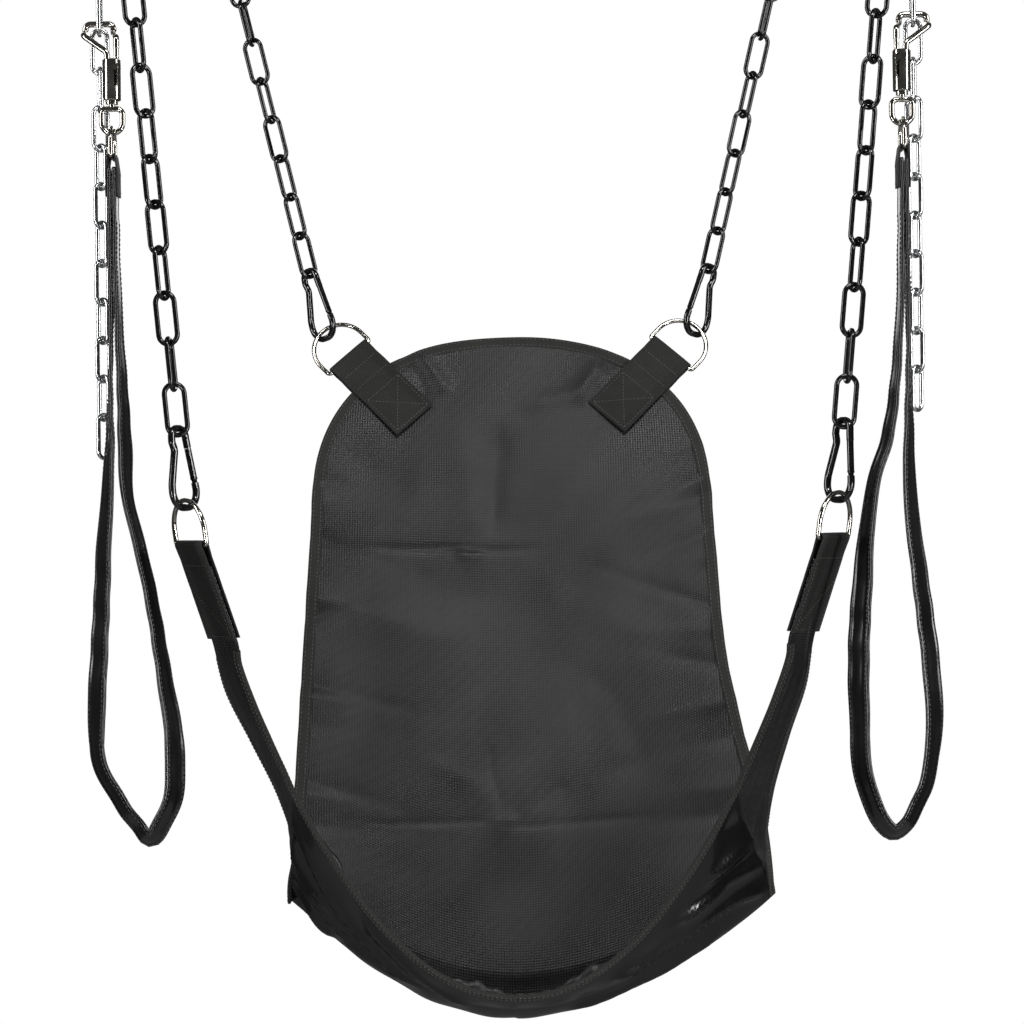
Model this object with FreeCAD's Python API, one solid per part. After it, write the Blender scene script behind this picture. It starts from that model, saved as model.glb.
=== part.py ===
"""Hanging sling seat: four black chains, a two-ply sling panel, and two hanging leg loops.

Frame: millimetres, +Z up, -Y is the open front of the sling, +X is the left-hand side of
somebody sitting in it.  The origin is the centre of the four ceiling hooks, on the ceiling plane.
"""
import FreeCAD, Part
import math
import os

V = FreeCAD.Vector
UP = V(0, 0, 1)

# ---- driving dimensions -------------------------------------------------------------------
REAR_Y = 200.0              # plane of the two rear chains
FRONT_Y = -190.0            # plane of the two front chains and the two bright chains
HOOK_DROP = 40.0            # ceiling plane to the top of each hook bar
REAR_RING_X = 187.0         # half spacing of the rear carabiner contacts
FRONT_RING_X = 285.0        # half spacing of the front carabiner contacts
REAR_LINKS = 9
FRONT_LINKS = 13
LINK_PITCH = 40.0           # black chain: inside length of a link
LINK_WIRE = 4.6
LINK_WIDTH = 22.0
REAR_LEAN = 97.0            # how far a rear chain spreads outwards from ring to hook
FRONT_LEAN = 53.0
BRIGHT_PITCH = 33.6         # bright chain: inside length of a link
BRIGHT_WIRE = 4.0
BRIGHT_WIDTH = 17.0
BRIGHT_X = 355.0            # bright chains hang straight down here
BRIGHT_LINKS = {"left": 16, "right": 15}
SNAP_LINK = 4               # the snap hook is clipped in this bright link, counted from the top
PLAY = 0.3                  # slack between linked parts
HOOK_BAR_R = 3.4
PLATE_LENGTH = 56.0         # each ceiling plate, along X
PLATE_WIDTH = 34.0
PLATE_THICK = 5.0
SCREW_SPACING = 40.0
SCREW_HOLE_R = 2.75
HOOK_RUN = 11.0             # bar beyond the outermost contact, each way
HOOK_TIP = 15.0             # upturned tip of the hook

CARABINER_WIRE_R = 3.25
CARABINER_INSIDE = 63.0     # inside length, contact to contact
CARABINER_LOW_HALF = 17.5   # half width on the bar's centre line, wide end
CARABINER_EYE_HALF = 9.8
REAR_CARABINER_TURN = 50.0      # turn about the chain, degrees
FRONT_CARABINER_TURN = 60.0
REAR_SLACK = 2.2            # gap between carabiner and ring
FRONT_SLACK = 0.9
CARABINER_PLAY = 0.3        # gap between carabiner eye and link
GATE_LENGTH = 27.0
GATE_R = 3.0
GATE_PIN_R = 1.0

RING_WIRE_R = 2.2
RING_HALF = 27.15           # half width on the wire's centre line
RING_RISE = 39.7            # bar centre line to bow centre line
RING_CORNER = 3.0
RING_REACH = RING_RISE - RING_WIRE_R    # bar centre line to the inside of the bow

WEB_WIDTH = 48.0            # webbing of the four sling tabs
WEB_THICK = 1.8
TAB_LENGTH = 96.0           # from the ring bar's centre to the sewn end
PLY = 1.6                   # thickness of each of the two plies
BINDING_WIDTH = 12.0
BINDING_THICK = 5.2
HEM_WIDTH = 9.0
PANEL_LEAN = 0.39           # the back panel comes forward this much per unit of drop

LOOP_X = 342.0              # axis of each leg loop
LOOP_Y = -212.0
STRAP_WIDTH = 25.0
STRAP_THICK = 3.4
HANG_Z = -HOOK_DROP


# ---- general shapes -----------------------------------------------------------------------
def unit(x, y=None, z=None):
    """Unit vector from a vector or three numbers."""
    vector = V(x) if y is None else V(x, y, z)
    return vector.normalize()


def mirror_x(vector, side):
    """The same point on the other side when side is -1."""
    return V(vector.x * side, vector.y, vector.z)


def corner_arc(before, corner, after, radius):
    """Start, middle and end of the arc that rounds one corner."""
    back = (before - corner).normalize()
    ahead = (after - corner).normalize()
    half = back.getAngle(ahead) / 2
    inwards = (back + ahead).normalize()
    reach = radius / math.tan(half)
    centre = corner + inwards * (radius / math.sin(half))
    return corner + back * reach, centre - inwards * radius, corner + ahead * reach


def round_path(points, radii, closed=False):
    """A wire of straight runs joined by tangent arcs."""
    count = len(points)
    corners = range(count) if closed else range(1, count - 1)
    edges = []
    last = None if closed else points[0]
    first = None
    for i in corners:
        start, middle, end = corner_arc(points[i - 1], points[i], points[(i + 1) % count], radii[i])
        if last is not None and (start - last).Length > 1e-6:
            edges.append(Part.LineSegment(last, start).toShape())
        first = start if first is None else first
        edges.append(Part.Arc(start, middle, end).toShape())
        last = end
    finish = first if closed else points[-1]
    if (finish - last).Length > 1e-6:
        edges.append(Part.LineSegment(last, finish).toShape())
    return Part.Wire(edges)


def bent_bar(points, radii, bar_radius, closed=False):
    """Round bar bent along a path."""
    path = round_path(points, radii, closed)
    start = path.Edges[0]
    profile = Part.makeCircle(bar_radius, start.valueAt(start.FirstParameter),
                              start.tangentAt(start.FirstParameter))
    return path.makePipeShell([Part.Wire(profile)], True, False)


def rod(start, end, radius):
    """Straight round rod from one point to another."""
    return Part.makeCylinder(radius, (end - start).Length, start, end - start)


def ribbon(stations):
    """Closed solid through four-sided sections, each a list of four corners."""
    wires = [Part.makePolygon(list(corners) + [corners[0]]) for corners in stations]
    return Part.makeLoft(wires, True, True)


def faceted_ribbon(stations):
    """Closed solid through four-cornered sections that turn sharply, with flat triangular faces."""
    def triangle(a, b, c):
        return Part.Face(Part.makePolygon([a, b, c, a]))
    faces = []
    for here, there in zip(stations, stations[1:]):
        for i in range(4):
            j = (i + 1) % 4
            faces.append(triangle(here[i], here[j], there[j]))
            faces.append(triangle(here[i], there[j], there[i]))
    for end in (stations[0], stations[-1]):
        faces.append(triangle(end[0], end[1], end[2]))
        faces.append(triangle(end[0], end[2], end[3]))
    solid = Part.makeSolid(Part.makeShell(faces))
    if solid.Volume < 0:
        solid.reverse()
    return solid


def save(name, *solids):
    """Write one node, as one solid or as a group of separate solids."""
    shape = solids[0] if len(solids) == 1 else Part.makeCompound(list(solids))
    if not shape.isValid() or shape.Volume <= 0:
        print("check", name, "valid", shape.isValid(), "volume", shape.Volume)
    shape.exportStep("parts/" + name + ".step")


# ---- chains -------------------------------------------------------------------------------
def link(top, direction, across, pitch, wire, width):
    """One stadium-shaped link whose inside runs from top along direction for one pitch."""
    half = (width - wire) / 2
    over = wire / 2 + PLAY / 2
    high = top - direction * over
    low = top + direction * (pitch + over)
    corners = [high - across * half, high + across * half, low + across * half, low - across * half]
    return bent_bar(corners, [half - 1e-3] * 4, wire / 2, True)


def chain(top, direction, count, twist, pitch, wire, width):
    """Links of one chain, each a quarter turn from the last plus twist(index)."""
    sideways = V(1, 0, 0) - direction * direction.x
    sideways.normalize()
    forwards = direction.cross(sideways)
    links = []
    for i in range(count):
        angle = math.radians(90 * (i + 1) + twist(i))
        across = sideways * math.cos(angle) + forwards * math.sin(angle)
        links.append(link(top + direction * (i * pitch), direction, across, pitch, wire, width))
    return links


def ceiling_hook(contacts_x, y):
    """Screw plate with a welded J hook whose bar runs along X under the given contacts."""
    middle = sum(contacts_x) / len(contacts_x)
    outwards = 1 if middle > 0 else -1
    plate = Part.makeBox(PLATE_LENGTH, PLATE_WIDTH, PLATE_THICK,
                         V(middle - PLATE_LENGTH / 2, y - PLATE_WIDTH / 2, -PLATE_THICK))
    for end in (-1, 1):
        screw = V(middle + end * SCREW_SPACING / 2, y, -PLATE_THICK - 1)
        plate = plate.cut(Part.makeCylinder(SCREW_HOLE_R, PLATE_THICK + 2, screw))
    half = (max(contacts_x) - min(contacts_x)) / 2 + HOOK_RUN
    bar_z = HANG_Z - HOOK_BAR_R
    tip = middle + outwards * half
    stem = middle - outwards * half
    points = [V(stem, y, -4), V(stem, y, bar_z), V(tip, y, bar_z), V(tip, y, bar_z + HOOK_TIP)]
    hook = bent_bar(points, [0, 5, 5, 0], HOOK_BAR_R)
    return plate.fuse(hook)


# ---- carabiners ---------------------------------------------------------------------------
def carabiner(low, along, across):
    """Body, gate, pin and spring of a pear-shaped carabiner.

    low is the inside of the wide end, along points to the narrow eye, and the gate is on the
    across side.
    """
    normal = across.cross(along)
    radius = CARABINER_WIRE_R
    length = CARABINER_INSIDE + 2 * radius
    base = low - along * radius

    def at(sideways, height, thick=0.0):
        return base + across * sideways + along * height + normal * thick

    wide = CARABINER_LOW_HALF
    eye = CARABINER_EYE_HALF
    low_joint = at(wide, 16)
    high_joint = at(eye, length - 9.5)
    slope = (high_joint - low_joint).normalize()
    pivot = low_joint + slope * 9
    nose = pivot + slope * GATE_LENGTH
    inward = normal.cross(slope)
    body_points = [pivot - slope * 3.7, low_joint, at(wide, 0), at(-wide, 0), at(-wide + 0.5, 20),
                   at(-eye + 1.8, length - 19), at(-eye - 1.0, length - 12), at(-eye, length),
                   at(eye, length), high_joint, nose + slope * 0.4]
    radii = [0, 8, wide - 3, wide - 3, 20, 7, 3.5, eye - 1.6, eye - 1.0, 6, 0]
    body = bent_bar(body_points, radii, radius)
    tongue = Part.makeBox(5.2, 2.2, 7.4)
    tongue.Placement = FreeCAD.Placement(
        pivot - slope * 5.4 - inward * 2.6 - normal * 1.1,
        FreeCAD.Rotation(inward, normal, slope, "ZYX"))
    body = body.fuse(tongue)
    body = body.cut(rod(pivot - normal * 4, pivot + normal * 4, GATE_PIN_R))
    gate = rod(pivot, nose, GATE_R).fuse(Part.makeSphere(GATE_R, pivot))
    slot = Part.makeBox(16, 2.8, 9.5)
    slot.Placement = FreeCAD.Placement(
        pivot - slope * 6 - inward * 8 - normal * 1.4, FreeCAD.Rotation(inward, normal, slope, "ZYX"))
    gate = gate.cut(slot)
    gate = gate.cut(rod(pivot - normal * 4, pivot + normal * 4, GATE_PIN_R + 0.05))
    gate = gate.cut(rod(pivot + slope * 3, pivot + slope * 15, 1.3))
    pin = rod(pivot - normal * 3.3, pivot + normal * 3.3, GATE_PIN_R)
    spring = coil(pivot + slope * 4.4, slope, 9.5, 0.95, 0.28, 7)
    return body, gate, pin, spring, pivot, normal


def coil(start, direction, length, radius, wire, turns):
    """Compression spring along direction."""
    helix = Part.makeHelix(length / turns, length, radius)
    profile = Part.Wire(Part.makeCircle(wire, V(radius, 0, 0), V(0, 1, 0)))
    spring = Part.Wire(helix.Edges).makePipeShell([profile], True, True)
    spring.Placement = FreeCAD.Placement(start, FreeCAD.Rotation(UP, direction))
    return spring


# ---- rings and webbing tabs ---------------------------------------------------------------
def d_ring(bar_centre, bar_direction, bow_direction, half=RING_HALF, rise=RING_RISE, wire=RING_WIRE_R):
    """Welded D ring: straight bar, short legs and a round bow."""
    left = bar_centre - bar_direction * half
    right = bar_centre + bar_direction * half
    top = bow_direction * rise
    bow = half - 1e-3
    corner = RING_CORNER if half == RING_HALF else wire + PLAY
    return bent_bar([left, right, right + top, left + top], [corner, corner, bow, bow], wire, True)


def folded_tab(bar_centre, bar_direction, down, length, width, back_gap, wire=RING_WIRE_R,
               thick=WEB_THICK):
    """Webbing folded round a ring bar, with one leg each side of what it is sewn to."""
    normal = bar_direction.cross(down).normalize()
    inner = wire + PLAY
    outer = inner + thick
    half_gap = back_gap / 2

    def at(forward, along):
        return bar_centre + normal * forward + down * along - bar_direction * (width / 2)

    turn = 8.0
    outside = [at(-half_gap - thick, length), at(-half_gap - thick, turn), at(-outer, 0)]
    over = [at(outer, 0), at(half_gap + thick, turn), at(half_gap + thick, length)]
    inside = [at(half_gap, length), at(half_gap, turn), at(inner, 0)]
    under = [at(-inner, 0), at(-half_gap, turn), at(-half_gap, length)]
    edges = [Part.LineSegment(outside[0], outside[1]).toShape(),
             Part.LineSegment(outside[1], outside[2]).toShape(),
             Part.Arc(outside[2], at(0, -outer), over[0]).toShape(),
             Part.LineSegment(over[0], over[1]).toShape(),
             Part.LineSegment(over[1], over[2]).toShape(),
             Part.LineSegment(over[2], inside[0]).toShape(),
             Part.LineSegment(inside[0], inside[1]).toShape(),
             Part.LineSegment(inside[1], inside[2]).toShape(),
             Part.Arc(inside[2], at(0, -inner), under[0]).toShape(),
             Part.LineSegment(under[0], under[1]).toShape(),
             Part.LineSegment(under[1], under[2]).toShape(),
             Part.LineSegment(under[2], outside[0]).toShape()]
    return Part.Face(Part.Wire(edges)).extrude(bar_direction * width)


# ---- the sling panel ----------------------------------------------------------------------
REAR_LENGTH = REAR_LINKS * LINK_PITCH + CARABINER_INSIDE - REAR_SLACK - CARABINER_PLAY
FRONT_LENGTH = FRONT_LINKS * LINK_PITCH + CARABINER_INSIDE - FRONT_SLACK - CARABINER_PLAY
FRONT_DROP = math.sqrt(FRONT_LENGTH ** 2 - FRONT_LEAN ** 2)
REAR_DROP = math.sqrt(REAR_LENGTH ** 2 - REAR_LEAN ** 2)
RING_LEVEL = HANG_Z - REAR_DROP + 2.0   # a little above the rear carabiner contacts
PANEL_TOP = RING_LEVEL - 10.0           # highest point of the panel's top edge
SHOULDER = RING_LEVEL - 182.0           # below this the panel's sides are nearly straight
CORNER_Z = RING_LEVEL - 542.0           # lowest point of each side edge
FOLD_Z = RING_LEVEL - 644.0             # lowest point of the sling
TOP_HALF = 196.0
LOW_HALF = 212.0
PLANE_Y = 190.0                         # the panel's plane passes here at the rear ring bars
PLANE_Z = RING_LEVEL - 27.5
PANEL_NORMAL = unit(0, -1, PANEL_LEAN)  # towards the sitter
OUTLINE_POWER = 2.4
LIP_STATIONS = 9                        # stations from the corner to the middle of the lip


def on_panel(x, z):
    """Point of the back panel's middle plane at this height."""
    return V(x, PLANE_Y - PANEL_LEAN * (PLANE_Z - z), z)


def half_width(z):
    """Half width of the back panel, binding included."""
    straight = TOP_HALF + (LOW_HALF - TOP_HALF) * min(1, max(0, (SHOULDER - z) / 300.0))
    rise = max(0.0, (z - SHOULDER) / (PANEL_TOP - SHOULDER))
    return straight * (1 - min(1, rise) ** OUTLINE_POWER) ** (1 / OUTLINE_POWER)


def fold_z(share):
    """Height of the bottom fold at a share of the half width."""
    return FOLD_Z + (CORNER_Z - FOLD_Z) * share * share


def side_profile(inset):
    """Right-hand edge of the back panel from its top centre to the corner, moved inwards."""
    steps = 14
    points = []
    for i in range(steps + 1):
        angle = math.pi / 2 * i / steps
        z = SHOULDER + (PANEL_TOP - SHOULDER) * math.cos(angle) ** (2 / OUTLINE_POWER)
        points.append((half_width(z), z))
    for i in range(1, 7):
        z = SHOULDER + (CORNER_Z - SHOULDER) * i / 6
        points.append((half_width(z), z))
    moved = []
    for i, (x, z) in enumerate(points):
        before = points[max(0, i - 1)]
        after = points[min(len(points) - 1, i + 1)]
        dx, dz = after[0] - before[0], after[1] - before[1]
        length = math.hypot(dx, dz)
        moved.append((x + inset * dz / length if i else 0.0, z - inset * dx / length))
    moved[-1] = (points[-1][0] - inset, CORNER_Z)
    return moved


def slab(outline, low, high):
    """Solid over a flat outline of the back panel, between two offsets from its plane."""
    wire = Part.makePolygon([on_panel(x, z) + PANEL_NORMAL * low for x, z in outline])
    return Part.Face(wire).extrude(PANEL_NORMAL * (high - low))


def back_slab(low, high, extra):
    """Back panel inside its binding, down to the bottom fold."""
    right = side_profile(BINDING_WIDTH)
    fold = []
    for i in range(1, 12):
        share = 1 - i / 6
        fold.append((share * (LOW_HALF - BINDING_WIDTH), fold_z(share) - extra))
    left = [(-x, z) for x, z in reversed(right)]
    return slab(right + fold + left, low, high)


def edge_binding():
    """Folded tape round the top and both sides of the back panel."""
    outer = side_profile(0.0)
    inner = side_profile(BINDING_WIDTH)
    outer_loop = outer + [inner[-1]] + list(reversed(inner))
    right = slab(outer_loop + [outer[0]], -BINDING_THICK / 2, BINDING_THICK / 2)
    left = right.mirror(V(0, 0, 0), V(1, 0, 0))
    return right.fuse(left).removeSplitter()


REAR_BAR = on_panel(REAR_RING_X - 26.5, PLANE_Z)


def front_ring_frame(side):
    """Bar centre, bar direction, bow direction and tab direction of one front ring."""
    contact = V(FRONT_RING_X * side, FRONT_Y, HANG_Z - FRONT_DROP)
    bar = unit(-30 * side, -43, 0)
    sag = unit(-4 * side, 4, -37)
    sag = (sag - bar * sag.dot(bar)).normalize()
    centre = contact + sag * RING_REACH
    down = unit(-23 * side, 23, -85)
    down = (down - bar * down.dot(bar)).normalize()
    return centre, bar, sag, down


def front_stations():
    """Pairs of (outer edge, inner edge) from the right-hand arm tip to the middle of the lip."""
    centre, bar, _, down = front_ring_frame(1)
    lift = RING_LEVEL - 182.3
    half = WEB_WIDTH / 2 - 2
    pairs = []
    for reach in (16.0, 50.0, 90.0):
        middle = centre + down * reach
        pairs.append((middle - bar * half, middle + bar * half))
    for outer, inner in (((257, -125, -160), (240, -172, -135)), ((236, -103, -208), (229, -158, -170)),
                         ((214, -73, -262), (218, -143, -200)), ((203, -43, -312), (208, -130, -226))):
        pairs.append((V(*outer) + UP * lift, V(*inner) + UP * lift))
    lip_half = 198.0
    for i in range(LIP_STATIONS):
        share = 1 - i / (LIP_STATIONS - 1)
        x = share * (LOW_HALF - BINDING_WIDTH)
        fold = on_panel(x, fold_z(share))
        rise = 187.0 * share ** 2.1
        inner = V(share * lip_half, -105 - 15 * share * share, lift - 439 + rise)
        pairs.append((fold, inner))
    return pairs


def both_sides(pairs):
    """Stations of the right-hand half, then the mirrored left-hand half."""
    left = [(mirror_x(a, -1), mirror_x(b, -1)) for a, b in reversed(pairs[:-1])]
    return pairs + left


def station_normals(pairs):
    """Unit normal of each station, towards the inside of the sling."""
    normals = []
    for i, (outer, inner) in enumerate(pairs):
        before = pairs[max(0, i - 1)]
        after = pairs[min(len(pairs) - 1, i + 1)]
        along = (after[0] + after[1]) - (before[0] + before[1])
        normals.append((inner - outer).cross(along).normalize())
    if normals[len(normals) // 2].z < 0:
        normals = [n * -1 for n in normals]
    return normals


def strip(pairs, normals, low, high):
    """Ribbon between two offsets along the station normals."""
    return ribbon([[a + n * low, b + n * low, b + n * high, a + n * high]
                   for (a, b), n in zip(pairs, normals)])


def stretched(pairs, outwards, inwards):
    """Stations with their outer and inner edges moved along the station."""
    moved = []
    for outer, inner in pairs:
        across = (inner - outer).normalize()
        moved.append((outer - across * outwards, inner + across * inwards))
    return moved


def sling_panel():
    """Both plies, the binding, the piping along the front edge and the two side hems."""
    pairs = both_sides(front_stations())
    normals = station_normals(pairs)
    woven = back_slab(0.0, PLY, 0.0).fuse(strip(pairs, normals, 0.0, PLY))
    save("woven_inner_ply", woven)
    gap = 0.05
    grown = stretched(pairs, 2 * PLY, 0.0)
    arm = len(front_stations()) - LIP_STATIONS
    grown = pairs[:arm] + grown[arm:-arm] + pairs[-arm:]
    binding = edge_binding()
    glossy = back_slab(-PLY, -gap, 2 * PLY).fuse(strip(grown, normals, -PLY, -gap))
    save("glossy_outer_ply", glossy.cut(woven).cut(binding))
    save("edge_binding", binding)
    edge = [(b + (b - a).normalize() * 0.1, b + (b - a).normalize() * 4.6) for a, b in pairs]
    save("front_piping", strip(edge[2:-2], normals[2:-2], -2.2, 2.2))
    right = [(a + (a - b).normalize() * HEM_WIDTH, a + (a - b).normalize() * 0.1)
             for a, b in pairs[2:arm]]
    turn = normals[2:arm]
    save("right_side_hem", strip(right, turn, -1.7, 1.7))
    left = [(mirror_x(a, -1), mirror_x(b, -1)) for a, b in reversed(right)]
    save("left_side_hem", strip(left, normals[-arm:-2], -1.7, 1.7))


# ---- rings, tabs and carabiners at the four corners ---------------------------------------
def rear_corner(name, side):
    """Rear ring, its webbing tab, its chain and its carabiner."""
    normal = PANEL_NORMAL
    down = mirror_x(unit(-0.707, -0.276, -0.707), side)
    down = (down - normal * down.dot(normal)).normalize()
    bar = normal.cross(down)
    centre = V(REAR_BAR.x * side, REAR_BAR.y, REAR_BAR.z)
    save(name + "_ring", d_ring(centre, bar, down * -1))
    save(name + "_tab", folded_tab(centre, bar, down, TAB_LENGTH, WEB_WIDTH, BINDING_THICK + 0.4))
    contact = centre - down * RING_REACH
    lean = math.sqrt(REAR_LENGTH ** 2 - (HANG_Z - contact.z) ** 2)
    hook = V(contact.x + lean * side, contact.y, HANG_Z)
    save(name + "_ceiling_hook", ceiling_hook([hook.x], hook.y))
    build_chain(name, contact, hook, REAR_LINKS, REAR_SLACK, REAR_CARABINER_TURN * side, side,
                lambda i: -REAR_CARABINER_TURN * side * i / (REAR_LINKS - 1))


def build_chain(name, contact, hook, count, slack, turn, side, twist):
    """Chain and carabiner between a ceiling hook and a ring."""
    direction = (contact - hook).normalize()
    links = chain(hook, direction, count, twist, LINK_PITCH, LINK_WIRE, LINK_WIDTH)
    save(name + "_chain", *links)
    sideways = V(1, 0, 0) - direction * direction.x
    across = FreeCAD.Rotation(direction * -1, turn).multVec(sideways.normalize())
    gate_side = -side if "rear" in name else 1
    body, gate, pin, spring, pivot, axis = carabiner(contact + direction * slack, direction * -1,
                                                     across * gate_side)
    save(name + "_carabiner", body)
    save(name + "_gate", gate)
    save(name + "_gate_pin", pin)
    save(name + "_gate_spring", spring)
    print(name, "gate pivot", [round(c, 2) for c in pivot], "axis", [round(c, 4) for c in axis],
          "contact", [round(c, 2) for c in contact], "hook", [round(c, 2) for c in hook])


def front_corner(name, side):
    """Front ring, its webbing tab, its chain and its carabiner."""
    centre, bar, sag, down = front_ring_frame(side)
    save(name + "_ring", d_ring(centre, bar, sag * -1))
    save(name + "_tab", folded_tab(centre, bar, down, 88.0, WEB_WIDTH, 2 * PLY + 0.6))
    contact = centre - sag * RING_REACH
    hook = V((FRONT_RING_X + FRONT_LEAN) * side, FRONT_Y, HANG_Z)
    build_chain(name, contact, hook, FRONT_LINKS, FRONT_SLACK, -FRONT_CARABINER_TURN * side, side,
                lambda i: 90 * side * i / (FRONT_LINKS - 1))


# ---- bright chains, snap hooks and leg loops ----------------------------------------------
def bright_chain(name, side):
    """Plain bright chain: top link, hanging length and free tail."""
    top = V(BRIGHT_X * side, FRONT_Y, HANG_Z)
    down = UP * -1
    count = BRIGHT_LINKS[name]

    def twist(i):
        return 45 * side * min(1.0, max(0.0, (i - SNAP_LINK - 1) / 3.0))

    links = chain(top, down, count, twist, BRIGHT_PITCH, BRIGHT_WIRE, BRIGHT_WIDTH)
    save(name + "_bright_top_link", links[0])
    save(name + "_bright_chain", *links[1:SNAP_LINK + 1])
    save(name + "_chain_tail", *links[SNAP_LINK + 1:])


SNAP_BAR_R = 2.7
SNAP_HALF = 12.2            # half width of the hook's head, so that it straddles a link
SNAP_TOP = HANG_Z - BRIGHT_PITCH * (SNAP_LINK + 1) + BRIGHT_WIRE + SNAP_BAR_R + 0.5
BARREL_TOP = 34.0           # heights on the snap hook are drops below SNAP_TOP
BARREL_LOW = 70.0
BARREL_R = 8.0
STEM_OFFSET = 3.8           # the stem and the bolt stand side by side in the barrel
BOLT_OFFSET = 4.2
BOLT_R = 2.3
BOLT_TOP = 24.5
BOLT_LOW = 48.0
STUD_DROP = 42.0
STUD_REACH = 9.0
SPRING_LOW = 62.8
SPRING_LENGTH = 13.4
EYE_HALF = 9.0
EYE_TOP = BARREL_LOW + 7.0
EYE_LOW = EYE_TOP + 21.0
EYE_BAR_R = 2.4
SHANK_R = 2.2
COLLAR_BORE_R = 2.4


def snap_hook(name, side):
    """Swivel snap hook clipped in the bright chain: body, sliding bolt, spring and swivel eye."""
    def at(x, y, drop):
        return V(x * side, y, SNAP_TOP - drop)

    def on_axis(drop):
        return at(LOOP_X, LOOP_Y, drop)

    def on_bolt(drop):
        return at(LOOP_X - BOLT_OFFSET, LOOP_Y, drop)

    head = BRIGHT_X
    stem = [at(LOOP_X + STEM_OFFSET, LOOP_Y, BARREL_TOP + 6),
            at(LOOP_X + STEM_OFFSET, LOOP_Y, BARREL_TOP - 6),
            at(head + SNAP_HALF, FRONT_Y - 14, 12), at(head + SNAP_HALF, FRONT_Y, 8),
            at(head + SNAP_HALF, FRONT_Y, 0), at(head - SNAP_HALF, FRONT_Y, 0),
            at(head - SNAP_HALF, FRONT_Y, 8), on_bolt(15), on_bolt(BOLT_TOP - 0.3)]
    body = bent_bar(stem, [0, 5, 5, 3.5, 4.5, 4.5, 3.5, 3.5, 0], SNAP_BAR_R)
    barrel = rod(on_axis(BARREL_LOW), on_axis(BARREL_TOP), BARREL_R)
    body = body.fuse(barrel.makeChamfer(0.9, barrel.Edges[:1] + barrel.Edges[2:]))
    bore = rod(on_bolt(BARREL_LOW - 6), on_bolt(BARREL_TOP - 2), BOLT_R + PLAY)
    slot_corner = on_bolt(STUD_DROP + 16) - V(1.3, 12, 0)
    slot = Part.makeBox(2.6, 12, 20, slot_corner)
    shank_hole = rod(on_axis(BARREL_LOW + 1), on_axis(BARREL_LOW - 5), 4.4)
    body = body.cut(bore).cut(slot).cut(shank_hole)
    collar = rod(on_axis(BARREL_LOW), on_axis(BARREL_LOW - 1.2), 4.6)
    body = body.fuse(collar.cut(rod(on_axis(BARREL_LOW + 1), on_axis(BARREL_LOW - 2),
                                    COLLAR_BORE_R)))
    save(name + "_snap_body", body)
    bolt = rod(on_bolt(BOLT_LOW), on_bolt(BOLT_TOP), BOLT_R)
    stud_end = on_bolt(STUD_DROP) - V(0, STUD_REACH, 0)
    stud = rod(on_bolt(STUD_DROP), stud_end, 1.15)
    button = rod(stud_end, stud_end - V(0, 2.4, 0), 2.6)
    save(name + "_snap_bolt", bolt.fuse(stud).fuse(button))
    save(name + "_snap_spring", coil(on_bolt(SPRING_LOW), UP, SPRING_LENGTH, 1.8, 0.35, 6))
    shank = rod(on_axis(EYE_TOP + 1.2), on_axis(BARREL_LOW - 2.6), SHANK_R)
    shank_head = rod(on_axis(BARREL_LOW - 1.6), on_axis(BARREL_LOW - 4.2), 4.0)
    flange = rod(on_axis(BARREL_LOW + 3.2), on_axis(BARREL_LOW + 1.0), 5.4)
    corners = [at(LOOP_X - EYE_HALF, LOOP_Y, EYE_TOP), at(LOOP_X + EYE_HALF, LOOP_Y, EYE_TOP),
               at(LOOP_X + EYE_HALF, LOOP_Y, EYE_LOW), at(LOOP_X - EYE_HALF, LOOP_Y, EYE_LOW)]
    eye = bent_bar(corners, [5, 5, EYE_HALF - 0.01, EYE_HALF - 0.01], EYE_BAR_R, True)
    save(name + "_swivel_eye", eye.fuse(shank).fuse(shank_head).fuse(flange))
    washer = rod(on_axis(BARREL_LOW + 0.8), on_axis(BARREL_LOW + 0.2), 5.6)
    washer_bore = rod(on_axis(BARREL_LOW + 2), on_axis(BARREL_LOW - 1), COLLAR_BORE_R)
    save(name + "_swivel_washer", washer.cut(washer_bore))


LOOP_RING_HALF = 15.0
LOOP_RING_RISE = 26.0
LOOP_WIRE_R = 2.0
LOOP_TAB_LENGTH = 34.0
LOOP_TAB_WIDTH = 24.0


def leg_loop(name, side):
    """Ring, webbing tab and closed strap of one hanging leg loop."""
    pivot_z = SNAP_TOP - EYE_LOW + EYE_BAR_R
    axis = V(LOOP_X * side, LOOP_Y, 0)
    bow_centre = pivot_z + PLAY + LOOP_WIRE_R
    bar_centre = V(axis.x, axis.y, bow_centre - LOOP_RING_RISE)
    bar = V(0, 1, 0)
    save(name + "_loop_ring", d_ring(bar_centre, bar, UP, LOOP_RING_HALF, LOOP_RING_RISE, LOOP_WIRE_R))
    tab = folded_tab(bar_centre, bar, UP * -1, LOOP_TAB_LENGTH, LOOP_TAB_WIDTH,
                     2 * STRAP_THICK + 1.2, LOOP_WIRE_R, 1.5)
    save(name + "_loop_tab", tab)
    top = bar_centre.z - 9.0
    stations = loop_route(name, side, top)
    save(name + "_loop_strap", faceted_ribbon(stations))
    print(name, "loop pivot", round(axis.x, 2), round(axis.y, 2), round(pivot_z, 2), "bottom",
          round(min(c.z for s in stations for c in s), 1))


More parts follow.
